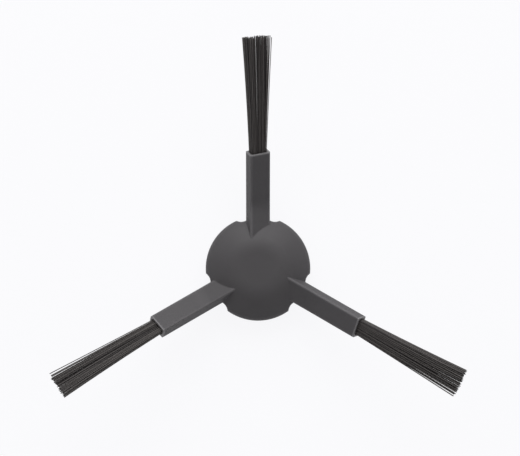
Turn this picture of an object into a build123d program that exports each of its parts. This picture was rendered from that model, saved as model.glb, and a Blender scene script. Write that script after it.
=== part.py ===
from build123d import *
from math import cos, hypot, radians, sin, sqrt, tan
from random import Random
import os

# Side brush of a robot vacuum: a domed hub with three raised arms, each holding a tuft of bristles.
# Millimetres. +Z is the domed side, which faces the floor in use. The origin is on the drive axis, in
# the plane of the open back rim. The first arm lies along +Y, and the others follow anticlockwise.

# Hub cap: a flat crown, a dome that is part of a ball, and an upright skirt, open at the back
HUB_RADIUS = 18.0
HUB_HEIGHT = 12.0
CROWN_RADIUS = 8.0
CROWN_BLEND = 12.0
SKIRT_HEIGHT = 6.3
SHOULDER_ROUND = 2.5
HUB_WALL = 1.8
RIM_CHAMFER = 0.4

# Scallops in the rim, one on each side of every arm root
SCALLOP_RADIUS = 3.5
SCALLOP_DEPTH = 2.0
SCALLOP_OFFSET = 5.8
SCALLOP_ROUND = 0.4

# Arms: a flat bar rolled about its own axis, level out of the hub, then bent up towards the floor side
ARM_COUNT = 3
ARM_WIDTH = 7.4
ARM_THICKNESS = 4.4
ARM_CORNER = 0.6
ARM_ROLL = 25.0
ARM_DROP = 4.25
ARM_LEVEL_RUN = 1.3
BEND_RADIUS = 11.0
BEND_ANGLE = 28.0
ARM_STRAIGHT_RUN = 17.0

# Sockets in the arm ends
SOCKET_WALL = 0.8
SOCKET_DEPTH = 10.0

# Drive boss on the back: a blind round bore with two keyways for the cross pin of the shaft
BORE_RADIUS = 3.0
BORE_DEPTH = 8.5
BOSS_WALL = 2.4
KEYWAY_WIDTH = 1.6
KEYWAY_DEPTH = 1.0
KEYWAY_LENGTH = 4.0

# Ribs between the boss and the skirt, midway between the arms
RIB_THICKNESS = 1.4
RIB_SETBACK = 2.5

# Bristle tufts: square filaments that fan out from a root fused into one plug, their tips trimmed at an
# angle to the tuft, towards level with the floor
BRISTLE_LENGTH = 41.7
FILAMENT_THICKNESS = 0.28
FILAMENT_GAP = 0.34
TUFT_TIP_WIDTH = 9.0
TUFT_LEAN = 0.4
TRIM_ANGLE = 13.5
TIP_UNEVENNESS = 0.6
TIP_SCATTER = 0.08
PLUG_RECESS = 2.0
PLUG_CLEARANCE = 0.05
FILAMENT_EMBED = 0.5
TUFT_SEED = 7


def around_axis(shape, first_angle=0.0):
    """Copies of a shape, one for each arm, spaced evenly about the drive axis."""
    step = 360.0 / ARM_COUNT
    return [Rot(0, 0, first_angle + step * index) * shape for index in range(ARM_COUNT)]


def scallops(radius):
    """Circles on both sides of every arm root, in plan."""
    centre = HUB_RADIUS - SCALLOP_DEPTH + SCALLOP_RADIUS
    circles = []
    for side in (-SCALLOP_OFFSET, SCALLOP_OFFSET):
        circles += around_axis(Pos(side, centre) * Circle(radius))
    return circles


def dome():
    """The outside of the hub: the ball through the crown's edge and the skirt's top, blended into both."""
    drop = HUB_HEIGHT - SKIRT_HEIGHT
    centre_depth = (HUB_RADIUS**2 - CROWN_RADIUS**2 + drop**2) / (2 * drop)
    ball_radius = hypot(CROWN_RADIUS, centre_depth)
    crown_edge = (CROWN_RADIUS, HUB_HEIGHT)
    skirt_top = (HUB_RADIUS, SKIRT_HEIGHT)
    outline = [
        Polyline((0, 0), (HUB_RADIUS - RIM_CHAMFER, 0), (HUB_RADIUS, RIM_CHAMFER), skirt_top),
        RadiusArc(skirt_top, crown_edge, -ball_radius),
        Polyline(crown_edge, (0, HUB_HEIGHT), (0, 0)),
    ]
    section = make_face(outline)
    section = fillet(section.vertices().sort_by_distance(crown_edge)[0], CROWN_BLEND)
    section = fillet(section.vertices().sort_by_distance(skirt_top)[0], SHOULDER_ROUND)
    return revolve(Plane.XZ * section, Axis.Z)


def hub_block():
    """The solid dome trimmed to its plan, a circle with softened scallops."""
    plan = Circle(HUB_RADIUS) - scallops(SCALLOP_RADIUS)
    plan = fillet(plan.vertices(), SCALLOP_ROUND)
    return dome() & extrude(plan, HUB_HEIGHT)


def hollow(bars):
    """What is cored out of the hub's back, around the boss, the ribs, the scallops and the arm roots."""
    radius = HUB_RADIUS - HUB_WALL
    height = HUB_HEIGHT - HUB_WALL
    foot = (radius, SKIRT_HEIGHT - HUB_WALL)
    outline = Polyline((0, 0), (radius, 0), foot, (CROWN_RADIUS, height), (0, height), close=True)
    core = revolve(Plane.XZ * make_face(outline), Axis.Z)
    scallop_walls = [extrude(circle, HUB_HEIGHT) for circle in scallops(SCALLOP_RADIUS + HUB_WALL)]
    boss = extrude(Circle(BORE_RADIUS + BOSS_WALL), HUB_HEIGHT)
    web = Pos(0, HUB_RADIUS / 2, RIB_SETBACK + HUB_HEIGHT / 2) * Box(RIB_THICKNESS, HUB_RADIUS, HUB_HEIGHT)
    return core - scallop_walls - boss - around_axis(web, 180.0 / ARM_COUNT) - bars


def arm_path():
    """The first arm's centre line: level from inside the boss, an arc, and a straight rise."""
    height = HUB_HEIGHT - ARM_DROP
    start = (0, BORE_RADIUS + BOSS_WALL / 2, height)
    bend = (0, HUB_RADIUS + ARM_LEVEL_RUN, height)
    rise = radians(BEND_ANGLE)
    bend_end = (0, bend[1] + BEND_RADIUS * sin(rise), height + BEND_RADIUS * (1 - cos(rise)))
    end = (0, bend_end[1] + ARM_STRAIGHT_RUN * cos(rise), bend_end[2] + ARM_STRAIGHT_RUN * sin(rise))
    level = Line(start, bend)
    arc = TangentArc(bend, bend_end, tangent=(0, 1, 0))
    return Curve() + [level, arc, Line(bend_end, end)]


def section_plane(position, direction):
    """A plane across an arm, its X along the wide side, which climbs to the left seen from the hub."""
    left = Vector(-1, 0, 0)
    up = left.cross(-direction)
    roll = radians(ARM_ROLL)
    return Plane(position, x_dir=left * cos(roll) + up * sin(roll), z_dir=direction)


def socket_size():
    """Width and thickness of the socket in an arm's end."""
    return ARM_WIDTH - 2 * SOCKET_WALL, ARM_THICKNESS - 2 * SOCKET_WALL


def arm_end(path):
    """The plane of the arm's end face, pointing out of the socket."""
    return section_plane(path @ 1, path % 1)


def arm_bar(path):
    """The solid bar of the first arm."""
    root = section_plane(path @ 0, path % 0)
    return sweep(root * RectangleRounded(ARM_WIDTH, ARM_THICKNESS, ARM_CORNER), path)


def arm_socket(path):
    """The blind pocket that takes the tuft's root."""
    width, thickness = socket_size()
    return extrude(arm_end(path) * Rectangle(width, thickness), -SOCKET_DEPTH)


def drive_bore():
    """The bore with its keyways, as one cutter."""
    bore = extrude(Circle(BORE_RADIUS), BORE_DEPTH)
    keyways = extrude(Rectangle(KEYWAY_WIDTH, 2 * (BORE_RADIUS + KEYWAY_DEPTH)), KEYWAY_LENGTH)
    return bore + keyways


def brush_body(path):
    """Hub, arms, ribs and boss in one moulding."""
    bars = around_axis(arm_bar(path))
    outside = hub_block() + bars
    return outside - hollow(bars) - drive_bore() - around_axis(arm_socket(path))


def filament_grid(half_width, half_thickness):
    """Staggered places across the socket, as many as fit at the filaments' pitch."""
    pitch = FILAMENT_THICKNESS + FILAMENT_GAP
    columns = int(2 * half_width / pitch)
    rows = int(2 * half_thickness / (pitch * sqrt(3) / 2))
    column_pitch = 2 * half_width / columns
    row_pitch = 2 * half_thickness / rows
    places = []
    for row in range(rows + 1):
        inset = row % 2
        for column in range(columns + 1 - inset):
            across = (column + inset / 2) * column_pitch - half_width
            places.append((across, row * row_pitch - half_thickness))
    return places


def bristle_tuft(mouth):
    """A plug seated on the socket's floor, with its filaments fanning out past the mouth."""
    width, thickness = socket_size()
    plug_section = Rectangle(width - 2 * PLUG_CLEARANCE, thickness - 2 * PLUG_CLEARANCE)
    floor = mouth.offset(-SOCKET_DEPTH)
    plug = extrude(floor * plug_section, SOCKET_DEPTH - PLUG_RECESS)

    # The outermost filaments clear the socket's walls at its mouth, and end at the tuft's full width
    inset = PLUG_CLEARANCE + FILAMENT_THICKNESS / 2
    mouth_half = width / 2 - inset
    tip_half = (TUFT_TIP_WIDTH - FILAMENT_THICKNESS) / 2
    root_half = mouth_half - (tip_half - mouth_half) * PLUG_RECESS / BRISTLE_LENGTH
    spread = tip_half / root_half
    half_thickness = (thickness / 2 - inset) * root_half / mouth_half

    roll = radians(ARM_ROLL)
    trim = tan(radians(TRIM_ANGLE))
    chance = Random(TUFT_SEED)
    section = Rectangle(FILAMENT_THICKNESS, FILAMENT_THICKNESS)
    filaments = []
    for across, through in filament_grid(root_half, half_thickness):
        foot = Vector(across, through, -PLUG_RECESS)
        height = (across * sin(roll) + through * cos(roll)) * spread
        length = BRISTLE_LENGTH + height * trim - chance.uniform(0, TIP_UNEVENNESS)
        stray = Vector(chance.uniform(-1, 1), chance.uniform(-1, 1)) * TIP_SCATTER
        tip = Vector(across * spread + TUFT_LEAN, through * spread, length) + stray
        direction = (tip - foot).normalized()
        base = Plane(foot - direction * FILAMENT_EMBED, z_dir=direction)
        filament = extrude(base * section, (tip - foot).length + FILAMENT_EMBED)
        filaments.append(mouth.location * filament)
    return plug + filaments


path = arm_path()
os.makedirs("parts", exist_ok=True)
export_step(brush_body(path), "parts/brush_body.step")
for number, tuft in enumerate(around_axis(bristle_tuft(arm_end(path))), start=1):
    export_step(tuft, f"parts/bristle_tuft_{number}.step")
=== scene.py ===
"""Dresses a robot vacuum side brush: its moulded body, its bristle tufts and a plain studio stage."""
from math import atan, cos, radians, sin

import bpy
import numpy as np
from bpy.props import FloatProperty, FloatVectorProperty, IntVectorProperty, PointerProperty
from mathutils import Matrix, Vector


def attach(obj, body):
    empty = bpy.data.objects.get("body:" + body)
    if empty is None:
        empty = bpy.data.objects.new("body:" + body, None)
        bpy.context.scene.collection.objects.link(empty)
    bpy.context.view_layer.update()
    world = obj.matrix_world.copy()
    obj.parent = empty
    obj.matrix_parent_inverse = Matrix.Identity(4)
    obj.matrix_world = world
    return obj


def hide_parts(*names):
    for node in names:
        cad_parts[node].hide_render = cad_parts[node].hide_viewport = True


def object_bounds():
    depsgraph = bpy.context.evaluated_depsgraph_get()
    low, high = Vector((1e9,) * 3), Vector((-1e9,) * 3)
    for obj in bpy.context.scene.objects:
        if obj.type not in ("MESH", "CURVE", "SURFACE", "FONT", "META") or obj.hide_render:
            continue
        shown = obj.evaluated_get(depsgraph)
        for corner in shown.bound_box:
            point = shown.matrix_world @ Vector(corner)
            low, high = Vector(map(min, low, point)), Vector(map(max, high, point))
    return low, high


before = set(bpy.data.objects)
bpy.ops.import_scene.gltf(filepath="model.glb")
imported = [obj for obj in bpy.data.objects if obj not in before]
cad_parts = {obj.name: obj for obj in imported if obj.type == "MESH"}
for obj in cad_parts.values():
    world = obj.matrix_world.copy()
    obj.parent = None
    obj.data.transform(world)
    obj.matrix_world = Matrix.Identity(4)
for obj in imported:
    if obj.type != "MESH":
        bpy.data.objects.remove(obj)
cad_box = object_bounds()

bl_info = {
    "name": "Side Brush",
    "version": (1, 0, 0),
    "blender": (4, 5, 0),
    "location": "View3D > Sidebar > Side Brush",
    "description": "Gives a side brush its moulded plastic and its bristles, and sets its stage",
    "category": "Object",
}

MM = 0.001
BODY_NODE = "brush_body"
TUFT_NODES = sorted(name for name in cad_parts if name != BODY_NODE)

# The photograph's frame in pixels, and the hub's place and width in it
FRAME_WIDTH = 520
FRAME_HEIGHT = 456
HUB_PIXEL = (258.0, 268.4)
HUB_WIDTH_PIXELS = 104.4

# Height on the hub's skirt, where the hub is widest, just under the arms
HUB_WIDEST_HEIGHT = 4.0 * MM

# Solid tufts are measured on their meshes, with points and heights told apart by so many decimals of a metre
PLUG_CORNERS = 4
POINT_DECIMALS = 7
HEIGHT_DECIMALS = 6
LEAST_PLUG_LENGTH = 1.0 * MM

# Filaments: few faces each, because there are about ninety in a tuft, planted thickly and thinned to their
# spacing, and sunk a little into the plug
FILAMENT_SIDES = 6
FILAMENT_POINTS = 6
PLANTING_DENSITY = 600.0 / MM**2
FILAMENT_EMBED = 0.5 * MM

# Tufts: filaments part into clumps with painted streaks of light and shade across them, the fan flares a
# little towards its tips, and small groups on the clockwise edge stand apart from the rest
CLUMP_WIDTH = 0.9 * MM
PAINTED_STREAK_WIDTH = 0.4 * MM
PAINTED_STREAK_SHARE = 0.5
PAINTED_STREAK_RANGE = (0.3, 0.7)
FLARE = 0.06
EDGE_SHARE = 0.14
EDGE_GROUPS = 2

# Plastic: cloudy patches in the colour, the pits that the mould leaves, and edges that are rubbed by
# handling, shinier there and painted paler as a highlight
CLOUD_SIZE = 9.0 * MM
PIT_DEPTH = 0.012 * MM
EDGE_ROUND = 0.5 * MM
WEAR_AND_HIGHLIGHT_WIDTH = 0.7 * MM
WEAR_AND_HIGHLIGHT_RANGE = (1.0, 0.5)
EDGE_SAMPLES = 8

# Stage
SENSOR_WIDTH_MM = 36.0
FLOOR_SIZE = 10.0
FLOOR_GAP = 0.05 * MM
BACKDROP_HEIGHT = 2.0
LAMP_DISTANCE = 1.1
LAMP_ELEVATION = 35
LAMP_WIDTH = 1.3
LAMP_HEIGHT = 0.8
SHADOW_SHARE = 0.08


def linear(hex_colour):
    """An sRGB hex colour as linear red, green and blue."""
    channels = [int(hex_colour[start:start + 2], 16) / 255 for start in (1, 3, 5)]
    return tuple(c / 12.92 if c <= 0.04045 else ((c + 0.055) / 1.055) ** 2.4 for c in channels)


def opaque(colour):
    """A colour with full alpha, as node sockets take it."""
    return (*colour, 1.0)


def add_node(tree, kind, inputs=None, **settings):
    """Add a node, set its properties, and fill its inputs with values or link them to other sockets."""
    node = tree.nodes.new(kind)
    for name, value in settings.items():
        setattr(node, name, value)
    for socket, value in (inputs or {}).items():
        if isinstance(value, bpy.types.NodeSocket):
            tree.links.new(value, node.inputs[socket])
        else:
            node.inputs[socket].default_value = value
    return node


def new_material(name):
    """A material with an empty node tree."""
    material = bpy.data.materials.new(name)
    material.use_nodes = True
    material.node_tree.nodes.clear()
    return material


class BodySettings(bpy.types.PropertyGroup):
    """Looks of the moulded body."""

    colour: FloatVectorProperty(
        name="Plastic", description="Colour of the plastic", subtype="COLOR", default=linear("#484648"))
    cloud: FloatVectorProperty(
        name="Cloud", description="Colour of the faint paler patches", subtype="COLOR",
        default=linear("#4c4a4c"))
    # The worn colour is a painted highlight as well as wear: it makes the edges much paler than rubbing alone
    # would
    worn_and_highlight: FloatVectorProperty(
        name="Worn", description="Colour of the rubbed edges", subtype="COLOR", default=linear("#807e80"))
    roughness: FloatProperty(
        name="Roughness", description="How dull the skin is", subtype="FACTOR", min=0, max=1, default=0.55)
    worn_roughness: FloatProperty(
        name="Worn Roughness", description="How dull the rubbed edges are", subtype="FACTOR", min=0, max=1,
        default=0.18)
    sheen: FloatProperty(
        name="Sheen", description="How strongly the skin mirrors", subtype="FACTOR", min=0, max=1,
        default=0.3)
    pit: FloatProperty(
        name="Pit", description="Width of the pits that the mould leaves", unit="LENGTH", default=0.5 * MM)


class TuftSettings(bpy.types.PropertyGroup):
    """Looks and sizes of the bristle tufts."""

    dark: FloatVectorProperty(
        name="Dark", description="Colour of the darkest filaments", subtype="COLOR",
        default=linear("#302d2e"))
    pale: FloatVectorProperty(
        name="Pale", description="Colour of the palest filaments", subtype="COLOR",
        default=linear("#686462"))
    roughness: FloatProperty(
        name="Roughness", description="How dull a filament is", subtype="FACTOR", min=0, max=1, default=0.45)
    sheen: FloatProperty(
        name="Sheen", description="How strongly a filament mirrors", subtype="FACTOR", min=0, max=1,
        default=0.2)
    diameter: FloatProperty(
        name="Diameter", description="Thickness of a filament", unit="LENGTH", default=0.28 * MM)
    spacing: FloatProperty(
        name="Spacing", description="Least distance between filaments at the root", unit="LENGTH",
        default=0.32 * MM)
    unevenness: FloatProperty(
        name="Unevenness", description="How much shorter the shortest filaments are", unit="LENGTH",
        default=0.6 * MM)
    stray: FloatProperty(
        name="Stray", description="How far a tip strays by itself", unit="LENGTH", default=0.12 * MM)
    parting: FloatProperty(
        name="Parting", description="How far clumps of tips part from each other", unit="LENGTH",
        default=0.45 * MM)
    split: FloatProperty(
        name="Split", description="Gap between the groups of edge filaments at the tips", unit="LENGTH",
        default=0.25 * MM)
    seeds: IntVectorProperty(
        name="Seeds", description="One for each tuft, another seed gives other strays and gaps",
        size=len(TUFT_NODES), default=(9, 4, 7))


class StageSettings(bpy.types.PropertyGroup):
    """Camera, floor and light."""

    camera_height: FloatProperty(
        name="Camera Height", description="Height of the camera above the hub's back", unit="LENGTH",
        default=0.65)
    floor: FloatVectorProperty(
        name="Floor", description="Colour of the floor", subtype="COLOR", default=linear("#fcfcfe"))
    sky: FloatProperty(
        name="Sky", description="Strength of the even light from all round", default=0.475)
    lamp: FloatProperty(
        name="Lamp", description="Power of the lamp beyond the first arm", unit="POWER", default=11.4)


def plastic_material(settings):
    """Moulded ABS from a spark-eroded mould: dull grey, finely pitted, shinier on rubbed edges that are
    painted paler as a highlight.
    """
    material = new_material("abs_moulded_matte")
    tree = material.node_tree
    place = add_node(tree, "ShaderNodeTexCoord").outputs["Object"]
    clouds = add_node(tree, "ShaderNodeTexNoise", {"Vector": place, "Scale": 1 / CLOUD_SIZE})
    skin = add_node(
        tree, "ShaderNodeMix",
        {"Factor": clouds.outputs["Fac"], "A": opaque(settings.colour), "B": opaque(settings.cloud)},
        data_type="RGBA")

    # An edge is where little plastic lies behind the surface; there the skin is made shinier as if rubbed,
    # and painted paler as a highlight
    depth = add_node(
        tree, "ShaderNodeAmbientOcclusion", {"Distance": WEAR_AND_HIGHLIGHT_WIDTH},
        inside=True, only_local=True, samples=EDGE_SAMPLES)
    wear_and_highlight = add_node(
        tree, "ShaderNodeMapRange",
        {"Value": depth.outputs["AO"], "From Min": WEAR_AND_HIGHLIGHT_RANGE[0], "From Max": WEAR_AND_HIGHLIGHT_RANGE[1]})
    # Painted highlight: the edges take the pale worn colour, on top of the real rubbing
    colour = add_node(
        tree, "ShaderNodeMix",
        {"Factor": wear_and_highlight.outputs["Result"], "A": skin.outputs["Result"], "B": opaque(settings.worn_and_highlight)},
        data_type="RGBA")
    roughness = add_node(
        tree, "ShaderNodeMix",
        {"Factor": wear_and_highlight.outputs["Result"], "A": settings.roughness, "B": settings.worn_roughness},
        data_type="FLOAT")

    # The real pits are about a tenth of a millimetre wide, so they are drawn coarser, to show at all
    pits = add_node(tree, "ShaderNodeTexNoise", {"Vector": place, "Scale": 1 / settings.pit})
    softened = add_node(tree, "ShaderNodeBevel", {"Radius": EDGE_ROUND}, samples=EDGE_SAMPLES)
    relief = add_node(
        tree, "ShaderNodeBump",
        {"Height": pits.outputs["Fac"], "Distance": PIT_DEPTH, "Normal": softened.outputs["Normal"]})
    surface = add_node(
        tree, "ShaderNodeBsdfPrincipled",
        {"Base Color": colour.outputs["Result"], "Roughness": roughness.outputs["Result"],
         "Specular IOR Level": settings.sheen, "Normal": relief.outputs["Normal"]})
    add_node(tree, "ShaderNodeOutputMaterial", {"Surface": surface.outputs["BSDF"]})
    return material


def nylon_material(settings):
    """Extruded nylon: dark satin filaments, each with its own shade and painted streaks of light and shade,
    and a thin line of light.
    """
    material = new_material("nylon_extruded_satin")
    tree = material.node_tree
    # The shade attribute carries each filament's own tone and the painted streaks of light and shade
    shade = add_node(tree, "ShaderNodeAttribute", attribute_name="shade")
    colour = add_node(
        tree, "ShaderNodeMix",
        {"Factor": shade.outputs["Fac"], "A": opaque(settings.dark), "B": opaque(settings.pale)},
        data_type="RGBA")
    surface = add_node(
        tree, "ShaderNodeBsdfPrincipled",
        {"Base Color": colour.outputs["Result"], "Roughness": settings.roughness,
         "Specular IOR Level": settings.sheen})
    add_node(tree, "ShaderNodeOutputMaterial", {"Surface": surface.outputs["BSDF"]})
    return material


def tuft_place(node):
    """Where a solid tuft sits: a matrix with Z out of its socket and X along its wide side, and its sizes."""
    corners = np.array([vertex.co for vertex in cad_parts[node].data.vertices])
    body = np.array([vertex.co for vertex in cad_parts[BODY_NODE].data.vertices])

    # The four corners of the plug's base are the points nearest the drive axis
    points = np.unique(corners.round(POINT_DECIMALS), axis=0)
    nearest = np.argsort(np.hypot(points[:, 0], points[:, 1]))
    base = [Vector(points[index]) for index in nearest[:PLUG_CORNERS]]
    middle = sum(base, Vector()) / len(base)
    sides = sorted((corner - base[0] for corner in base[1:]), key=lambda side: side.length)
    through, across = sides[0], sides[1]
    if across.z < 0:
        across = -across
    outward = across.cross(through).normalized()
    if outward.z < 0:
        outward = -outward
    x_axis = across.normalized()
    y_axis = outward.cross(x_axis)
    turn = Matrix((x_axis, y_axis, outward)).transposed()
    local = (points - np.array(middle)) @ np.array(turn)
    heights = np.unique(local[:, 2].round(HEIGHT_DECIMALS))
    mouth = ((body - np.array(middle)) @ np.array(outward)).max()

    # The tips give the fan's width, its lean to one side and the slanted plane that they are trimmed to
    tips = local[local[:, 2] > mouth]
    left, right = tips[:, 0].max(), tips[:, 0].min()
    plane = np.linalg.lstsq(np.column_stack((tips[:, :2], np.ones(len(tips)))), tips[:, 2], rcond=None)[0]
    clockwise = outward.cross((0.0, 0.0, 1.0)).normalized()
    sizes = {
        "Plug Width": across.length,
        "Plug Thickness": through.length,
        "Plug Length": float(heights[heights > LEAST_PLUG_LENGTH][0]),
        "Mouth": float(mouth),
        "Tip": float(plane[2]),
        "Tip Width": float(left - right),
        "Lean": float((left + right) / 2),
        "Trim": (float(plane[0]), float(plane[1]), 0.0),
        "Side": (-clockwise.dot(x_axis), -clockwise.dot(y_axis), 0.0),
    }
    return Matrix.Translation(middle) @ turn.to_4x4(), sizes


TUFT_INPUTS = {
    "Plug Width": "NodeSocketFloat",
    "Plug Thickness": "NodeSocketFloat",
    "Plug Length": "NodeSocketFloat",
    "Root Width": "NodeSocketFloat",
    "Root Thickness": "NodeSocketFloat",
    "Length": "NodeSocketFloat",
    "Spread": "NodeSocketFloat",
    "Diameter": "NodeSocketFloat",
    "Spacing": "NodeSocketFloat",
    "Lean": "NodeSocketFloat",
    "Trim": "NodeSocketVector",
    "Unevenness": "NodeSocketFloat",
    "Stray": "NodeSocketFloat",
    "Side": "NodeSocketVector",
    "Parting": "NodeSocketFloat",
    "Edge": "NodeSocketFloat",
    "Group": "NodeSocketFloat",
    "Split": "NodeSocketFloat",
    "Seed": "NodeSocketInt",
    "Material": "NodeSocketMaterial",
}


def seated_plug(tree, given):
    """The root plug, its base at the origin."""
    size = add_node(
        tree, "ShaderNodeCombineXYZ",
        {"X": given["Plug Width"], "Y": given["Plug Thickness"], "Z": given["Plug Length"]})
    half_length = add_node(tree, "ShaderNodeMath", {0: given["Plug Length"], 1: 0.5}, operation="MULTIPLY")
    middle = add_node(tree, "ShaderNodeCombineXYZ", {"Z": half_length.outputs["Value"]})
    plug = add_node(tree, "GeometryNodeMeshCube", {"Size": size.outputs["Vector"]})
    seated = add_node(
        tree, "GeometryNodeTransform",
        {"Geometry": plug.outputs["Mesh"], "Translation": middle.outputs["Vector"]})
    return seated.outputs["Geometry"]


def planted_strands(tree, given):
    """One upright line of unit height for each filament, planted within the root's width and thickness."""
    ground = add_node(
        tree, "GeometryNodeMeshGrid",
        {"Size X": given["Root Width"], "Size Y": given["Root Thickness"], "Vertices X": 2, "Vertices Y": 2})
    feet = add_node(
        tree, "GeometryNodeDistributePointsOnFaces",
        {"Mesh": ground.outputs["Mesh"], "Distance Min": given["Spacing"], "Density Max": PLANTING_DENSITY,
         "Seed": given["Seed"]},
        distribute_method="POISSON")
    line = add_node(tree, "GeometryNodeCurvePrimitiveLine", {"End": (0.0, 0.0, 1.0)})
    strand = add_node(
        tree, "GeometryNodeResampleCurve", {"Curve": line.outputs["Curve"], "Count": FILAMENT_POINTS})
    planted = add_node(
        tree, "GeometryNodeInstanceOnPoints",
        {"Points": feet.outputs["Points"], "Instance": strand.outputs["Curve"]})
    strands = add_node(tree, "GeometryNodeRealizeInstances", {"Geometry": planted.outputs["Instances"]})
    return strands.outputs["Geometry"]


def straight_places(tree, given, foot, fanned, share, number):
    """Places on a straight filament, from its foot to a tip that is cut near the trimmed plane and strays."""
    slant = add_node(tree, "ShaderNodeVectorMath", {0: fanned, 1: given["Trim"]}, operation="DOT_PRODUCT")
    trimmed = add_node(
        tree, "ShaderNodeMath", {0: given["Length"], 1: slant.outputs["Value"]}, operation="ADD")
    cut = add_node(
        tree, "FunctionNodeRandomValue", {"Max": given["Unevenness"], "ID": number, "Seed": given["Seed"]})
    height = add_node(
        tree, "ShaderNodeMath", {0: trimmed.outputs["Value"], 1: cut.outputs[1]}, operation="SUBTRACT")
    raised = add_node(tree, "ShaderNodeCombineXYZ", {"Z": height.outputs["Value"]})
    chance = add_node(
        tree, "FunctionNodeRandomValue",
        {0: (-1.0, -1.0, 0.0), 1: (1.0, 1.0, 0.0), "ID": number, "Seed": given["Seed"]},
        data_type="FLOAT_VECTOR")
    strayed = add_node(
        tree, "ShaderNodeVectorMath", {0: chance.outputs["Value"], "Scale": given["Stray"]},
        operation="SCALE")
    level_tip = add_node(
        tree, "ShaderNodeVectorMath", {0: fanned, 1: strayed.outputs["Vector"]}, operation="ADD")
    tip = add_node(
        tree, "ShaderNodeVectorMath", {0: level_tip.outputs["Vector"], 1: raised.outputs["Vector"]},
        operation="ADD")
    straight = add_node(
        tree, "ShaderNodeMix", {"Factor": share, "A": foot, "B": tip.outputs["Vector"]}, data_type="VECTOR")
    return straight.outputs[1]


def parted_clumps(tree, given, aside):
    """How far a tip is pushed sideways, to and fro from clump to clump across the tuft."""
    clump = add_node(
        tree, "ShaderNodeMath", {0: aside, 1: 1 / CLUMP_WIDTH, 2: given["Seed"]}, operation="MULTIPLY_ADD")
    push = add_node(
        tree, "ShaderNodeTexNoise", {"W": clump.outputs["Value"], "Scale": 1.0, "Detail": 0.0},
        noise_dimensions="1D")
    centred = add_node(tree, "ShaderNodeMath", {0: push.outputs["Fac"], 1: 0.5}, operation="SUBTRACT")
    parted = add_node(
        tree, "ShaderNodeMath", {0: centred.outputs["Value"], 1: given["Parting"]}, operation="MULTIPLY")
    return parted.outputs["Value"]


def edge_gaps(tree, given, aside):
    """How far the groups on the clockwise edge stand off at their tips, the outer ones further."""
    past_edge = add_node(tree, "ShaderNodeMath", {0: given["Edge"], 1: aside}, operation="SUBTRACT")
    groups = add_node(
        tree, "ShaderNodeMath", {0: past_edge.outputs["Value"], 1: given["Group"]}, operation="DIVIDE")
    group = add_node(tree, "ShaderNodeMath", {0: groups.outputs["Value"]}, operation="CEIL")
    apart = add_node(tree, "ShaderNodeMath", {0: group.outputs["Value"], 1: 0.0}, operation="MAXIMUM")
    gap = add_node(
        tree, "ShaderNodeMath", {0: apart.outputs["Value"], 1: given["Split"]}, operation="MULTIPLY")
    return gap.outputs["Value"]


def bends(tree, given, fanned, aside, share):
    """How far a point lies off its straight filament by lean, flare, clumps and gaps, more near the tip."""
    shift = add_node(
        tree, "ShaderNodeMath", {0: parted_clumps(tree, given, aside), 1: edge_gaps(tree, given, aside)},
        operation="SUBTRACT")
    sideways = add_node(
        tree, "ShaderNodeVectorMath", {0: given["Side"], "Scale": shift.outputs["Value"]}, operation="SCALE")
    lean = add_node(tree, "ShaderNodeCombineXYZ", {"X": given["Lean"]})
    flared = add_node(
        tree, "ShaderNodeVectorMath", {0: fanned, 1: (FLARE, FLARE, FLARE), 2: lean.outputs["Vector"]},
        operation="MULTIPLY_ADD")
    tip_bend = add_node(
        tree, "ShaderNodeVectorMath", {0: sideways.outputs["Vector"], 1: flared.outputs["Vector"]},
        operation="ADD")
    growth = add_node(tree, "ShaderNodeMath", {0: share, 1: 2.0}, operation="POWER")
    bend = add_node(
        tree, "ShaderNodeVectorMath", {0: tip_bend.outputs["Vector"], "Scale": growth.outputs["Value"]},
        operation="SCALE")
    return bend.outputs["Vector"]


def shades(tree, given, aside, number):
    """A shade of its own for every filament, mixed with painted streaks of light and shade that vary across
    the tuft.
    """
    tint = add_node(tree, "FunctionNodeRandomValue", {"ID": number, "Seed": given["Seed"]})
    across = add_node(
        tree, "ShaderNodeMath", {0: aside, 1: 1 / PAINTED_STREAK_WIDTH, 2: given["Seed"]}, operation="MULTIPLY_ADD")
    light = add_node(
        tree, "ShaderNodeTexNoise", {"W": across.outputs["Value"], "Scale": 1.0, "Detail": 0.0},
        noise_dimensions="1D")
    painted_streak = add_node(
        tree, "ShaderNodeMapRange",
        {"Value": light.outputs["Fac"], "From Min": PAINTED_STREAK_RANGE[0], "From Max": PAINTED_STREAK_RANGE[1]})
    # Painted light and shade: lighter and darker streaks stand for clumps of filaments that catch the light
    # alike
    shade = add_node(
        tree, "ShaderNodeMix",
        {"Factor": PAINTED_STREAK_SHARE, "A": tint.outputs[1], "B": painted_streak.outputs["Result"]}, data_type="FLOAT")
    return shade.outputs["Result"]


def rounded_filaments(tree, given, strands):
    """The strands with a round section, rooted a little below the plug's top."""
    radius = add_node(tree, "ShaderNodeMath", {0: given["Diameter"], 1: 0.5}, operation="MULTIPLY")
    section = add_node(
        tree, "GeometryNodeCurvePrimitiveCircle",
        {"Resolution": FILAMENT_SIDES, "Radius": radius.outputs["Value"]})
    filaments = add_node(
        tree, "GeometryNodeCurveToMesh",
        {"Curve": strands, "Profile Curve": section.outputs["Curve"], "Fill Caps": True})
    root_height = add_node(
        tree, "ShaderNodeMath", {0: given["Plug Length"], 1: FILAMENT_EMBED}, operation="SUBTRACT")
    root = add_node(tree, "ShaderNodeCombineXYZ", {"Z": root_height.outputs["Value"]})
    rooted = add_node(
        tree, "GeometryNodeTransform",
        {"Geometry": filaments.outputs["Mesh"], "Translation": root.outputs["Vector"]})
    smooth = add_node(tree, "GeometryNodeSetShadeSmooth", {"Geometry": rooted.outputs["Geometry"]})
    return smooth.outputs["Geometry"]


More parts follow.
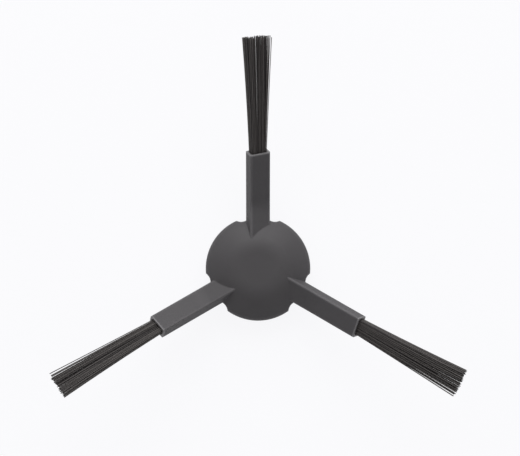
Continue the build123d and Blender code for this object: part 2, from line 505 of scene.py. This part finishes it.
def tuft_tree():
    """Node tree that grows a fan of filaments from a root plug, with Z out of the socket and X along it."""
    tree = bpy.data.node_groups.new("bristle_tuft", "GeometryNodeTree")
    tree.is_modifier = True
    for name, kind in TUFT_INPUTS.items():
        tree.interface.new_socket(name, in_out="INPUT", socket_type=kind)
    tree.interface.new_socket("Tuft", in_out="OUTPUT", socket_type="NodeSocketGeometry")
    given = add_node(tree, "NodeGroupInput").outputs

    # On a strand of unit height, a point's height is its share of the filament, and the rest is its foot
    here = add_node(tree, "GeometryNodeInputPosition").outputs["Position"]
    share = add_node(tree, "ShaderNodeSeparateXYZ", {"Vector": here}).outputs["Z"]
    foot = add_node(
        tree, "ShaderNodeVectorMath", {0: here, 1: (1.0, 1.0, 0.0)}, operation="MULTIPLY").outputs["Vector"]
    fanned = add_node(
        tree, "ShaderNodeVectorMath", {0: foot, "Scale": given["Spread"]},
        operation="SCALE").outputs["Vector"]
    aside = add_node(
        tree, "ShaderNodeVectorMath", {0: here, 1: given["Side"]}, operation="DOT_PRODUCT").outputs["Value"]
    number = add_node(tree, "GeometryNodeCurveOfPoint").outputs["Curve Index"]
    placed = add_node(
        tree, "GeometryNodeSetPosition",
        {"Geometry": planted_strands(tree, given),
         "Position": straight_places(tree, given, foot, fanned, share, number),
         "Offset": bends(tree, given, fanned, aside, share)})

    # From here on a point is where it ends up, so the painted streaks of light and shade run along the tuft
    # and not along the filaments
    shaded = add_node(
        tree, "GeometryNodeStoreNamedAttribute",
        {"Geometry": placed.outputs["Geometry"], "Name": "shade",
         "Value": shades(tree, given, aside, number)},
        data_type="FLOAT", domain="POINT")
    filaments = rounded_filaments(tree, given, shaded.outputs["Geometry"])
    tuft = add_node(tree, "GeometryNodeJoinGeometry", {"Geometry": seated_plug(tree, given)})
    tree.links.new(filaments, tuft.inputs["Geometry"])
    whole = add_node(tree, "GeometryNodeRealizeInstances", {"Geometry": tuft.outputs["Geometry"]})
    dressed = add_node(
        tree, "GeometryNodeSetMaterial",
        {"Geometry": whole.outputs["Geometry"], "Material": given["Material"]})
    add_node(tree, "NodeGroupOutput", {"Tuft": dressed.outputs["Geometry"]})
    return tree


def grow_tuft(context, node, seed, tree, material):
    """A plain mesh of plug and filaments, in the place of one solid tuft."""
    settings = context.scene.side_brush_tufts
    place, sizes = tuft_place(node)
    length = sizes["Tip"] + settings.unevenness / 2 - sizes["Plug Length"]
    past_plug = (sizes["Mouth"] - sizes["Plug Length"]) / length

    # The fan with its splits is as wide at the tip as the solid one, and clears the socket at the mouth
    splits = EDGE_GROUPS * settings.split
    tip_width = sizes["Tip Width"] - splits - settings.diameter
    mouth_width = sizes["Plug Width"] - settings.diameter
    mouth_thickness = sizes["Plug Thickness"] - settings.diameter
    root_width = (mouth_width - tip_width * past_plug) / (1 - past_plug)
    spread = tip_width / root_width
    root_thickness = mouth_thickness / (1 + (spread - 1) * past_plug)
    side = sizes["Side"]
    reach = root_width * abs(side[0]) + root_thickness * abs(side[1])
    values = {
        "Plug Width": sizes["Plug Width"],
        "Plug Thickness": sizes["Plug Thickness"],
        "Plug Length": sizes["Plug Length"],
        "Root Width": root_width,
        "Root Thickness": root_thickness,
        "Length": length + FILAMENT_EMBED,
        "Spread": spread,
        "Diameter": settings.diameter,
        "Spacing": settings.spacing,
        "Lean": sizes["Lean"] + splits / 2,
        "Trim": sizes["Trim"],
        "Unevenness": settings.unevenness,
        "Stray": settings.stray,
        "Side": side,
        "Parting": settings.parting,
        "Edge": (EDGE_SHARE - 0.5) * reach,
        "Group": EDGE_SHARE / EDGE_GROUPS * reach,
        "Split": settings.split,
        "Seed": seed,
        "Material": material,
    }
    tuft = bpy.data.objects.new(node.replace("bristle", "nylon"), bpy.data.meshes.new(node))
    context.scene.collection.objects.link(tuft)
    modifier = tuft.modifiers.new("bristle_tuft", "NODES")
    modifier.node_group = tree
    for item in tree.interface.items_tree:
        if item.in_out == "INPUT":
            modifier[item.identifier] = values[item.name]
    depsgraph = context.evaluated_depsgraph_get()
    mesh = bpy.data.meshes.new_from_object(
        tuft.evaluated_get(depsgraph), preserve_all_data_layers=True, depsgraph=depsgraph)
    tuft.modifiers.remove(modifier)
    tuft.data = mesh
    mesh.transform(place)
    return tuft


def floor_material(colour):
    """Pale matte paper: the eye sees its even colour and a trace of the shadow on it."""
    material = new_material("paper_pale_matte")
    tree = material.node_tree
    path = add_node(tree, "ShaderNodeLightPath").outputs
    mirrored = add_node(
        tree, "ShaderNodeMath", {0: path["Is Camera Ray"], 1: path["Is Glossy Ray"]}, operation="MAXIMUM")
    seen = add_node(
        tree, "ShaderNodeMath", {0: mirrored.outputs["Value"], 1: path["Is Transmission Ray"]},
        operation="MAXIMUM")
    share = add_node(
        tree, "ShaderNodeMath", {0: seen.outputs["Value"], 1: 1 - SHADOW_SHARE}, operation="MULTIPLY")
    lit = add_node(tree, "ShaderNodeBsdfDiffuse", {"Color": opaque(colour)})
    even = add_node(tree, "ShaderNodeEmission", {"Color": opaque(colour)})
    mixed = add_node(
        tree, "ShaderNodeMixShader",
        {"Fac": share.outputs["Value"], 1: lit.outputs["BSDF"], 2: even.outputs["Emission"]})
    add_node(tree, "ShaderNodeOutputMaterial", {"Surface": mixed.outputs["Shader"]})
    return material


def add_floor(context, colour):
    """A wide flat sheet just under the hub's back rim, its far edges turned up so that no horizon shows."""
    half = FLOOR_SIZE / 2
    height = cad_box[0].z - FLOOR_GAP
    mesh = bpy.data.meshes.new("floor")
    plan = [(-half, -half), (half, -half), (half, half), (-half, half)]
    low = [(x, y, height) for x, y in plan]
    high = [(x, y, height + BACKDROP_HEIGHT) for x, y in plan]
    count = len(plan)
    following = [(corner + 1) % count for corner in range(count)]
    sides = [(corner, after, after + count, corner + count) for corner, after in enumerate(following)]
    mesh.from_pydata(low + high, [], [range(count), *sides])
    mesh.materials.append(floor_material(colour))
    floor = bpy.data.objects.new("floor", mesh)
    context.scene.collection.objects.link(floor)


def add_world(context, sky):
    """Even white light from all round."""
    world = bpy.data.worlds.new("studio")
    world.use_nodes = True
    context.scene.world = world
    tree = world.node_tree
    tree.nodes.clear()
    light = add_node(tree, "ShaderNodeBackground", {"Color": opaque((1.0, 1.0, 1.0)), "Strength": sky})
    add_node(tree, "ShaderNodeOutputWorld", {"Surface": light.outputs["Background"]})


def add_lamp(context, power):
    """A soft lamp beyond the first arm, which faces the hub."""
    lamp = bpy.data.lights.new("lamp", "AREA")
    lamp.shape = "RECTANGLE"
    lamp.size = LAMP_WIDTH
    lamp.size_y = LAMP_HEIGHT
    lamp.energy = power
    holder = bpy.data.objects.new("lamp", lamp)
    lift = radians(LAMP_ELEVATION)
    away = Vector((0.0, cos(lift), sin(lift)))
    holder.location = away * LAMP_DISTANCE
    holder.rotation_euler = away.to_track_quat("Z", "Y").to_euler()
    context.scene.collection.objects.link(holder)


def hub_width():
    """Width of the hub, measured on its skirt."""
    points = [vertex.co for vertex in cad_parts[BODY_NODE].data.vertices]
    return 2 * max(point.xy.length for point in points if point.z < HUB_WIDEST_HEIGHT)


def add_camera(context, height):
    """A long lens over the hub, tilted a little so that the hub stands where the photograph has it."""
    reach = height - HUB_WIDEST_HEIGHT
    focal_pixels = HUB_WIDTH_PIXELS * reach / hub_width()
    data = bpy.data.cameras.new("camera")
    data.sensor_width = SENSOR_WIDTH_MM
    data.lens = SENSOR_WIDTH_MM * focal_pixels / FRAME_WIDTH
    camera = bpy.data.objects.new("camera", data)
    camera.location = (0.0, 0.0, height)
    tilt_up = atan((HUB_PIXEL[1] - FRAME_HEIGHT / 2) / focal_pixels)
    tilt_right = atan((FRAME_WIDTH / 2 - HUB_PIXEL[0]) / focal_pixels)
    camera.rotation_euler = (tilt_up, -tilt_right, 0.0)
    context.scene.collection.objects.link(camera)
    context.scene.camera = camera


class SIDEBRUSH_OT_body(bpy.types.Operator):
    """Give the moulded body its plastic"""

    bl_idname = "side_brush.body"
    bl_label = "Dress Body"

    def execute(self, context):
        material = plastic_material(context.scene.side_brush_body)
        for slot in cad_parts[BODY_NODE].material_slots:
            slot.material = material
        return {"FINISHED"}


class SIDEBRUSH_OT_tufts(bpy.types.Operator):
    """Grow the filaments of every tuft"""

    bl_idname = "side_brush.tufts"
    bl_label = "Grow Tufts"

    def execute(self, context):
        settings = context.scene.side_brush_tufts
        tree = tuft_tree()
        material = nylon_material(settings)
        for node, seed in zip(TUFT_NODES, settings.seeds):
            tuft = grow_tuft(context, node, seed, tree, material)
            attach(tuft, "root")
            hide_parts(node)
        return {"FINISHED"}


class SIDEBRUSH_OT_stage(bpy.types.Operator):
    """Set the floor, the light and the camera"""

    bl_idname = "side_brush.stage"
    bl_label = "Set Stage"

    def execute(self, context):
        settings = context.scene.side_brush_stage
        context.scene.view_settings.view_transform = "Standard"
        add_floor(context, settings.floor)
        add_world(context, settings.sky)
        add_lamp(context, settings.lamp)
        add_camera(context, settings.camera_height)
        return {"FINISHED"}


OPERATORS = (SIDEBRUSH_OT_body, SIDEBRUSH_OT_tufts, SIDEBRUSH_OT_stage)
GROUPS = {
    "side_brush_body": BodySettings,
    "side_brush_tufts": TuftSettings,
    "side_brush_stage": StageSettings,
}


class SIDEBRUSH_PT_panel(bpy.types.Panel):
    """Settings and steps of the side brush"""

    bl_idname = "SIDEBRUSH_PT_panel"
    bl_label = "Side Brush"
    bl_space_type = "VIEW_3D"
    bl_region_type = "UI"
    bl_category = "Side Brush"

    def draw(self, context):
        for (name, group), operator in zip(GROUPS.items(), OPERATORS):
            box = self.layout.box()
            for field in group.__annotations__:
                box.prop(getattr(context.scene, name), field)
            box.operator(operator.bl_idname)


CLASSES = (*GROUPS.values(), *OPERATORS, SIDEBRUSH_PT_panel)


def register():
    """Make the classes and their settings known."""
    for cls in CLASSES:
        bpy.utils.register_class(cls)
    for name, group in GROUPS.items():
        setattr(bpy.types.Scene, name, PointerProperty(type=group))


def unregister():
    """Take the settings and the classes away again."""
    for name in GROUPS:
        delattr(bpy.types.Scene, name)
    for cls in reversed(CLASSES):
        bpy.utils.unregister_class(cls)


def main():
    """Dress the brush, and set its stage."""
    register()
    bpy.ops.side_brush.body()
    bpy.ops.side_brush.tufts()
    bpy.ops.side_brush.stage()


if __name__ == "__main__":
    main()
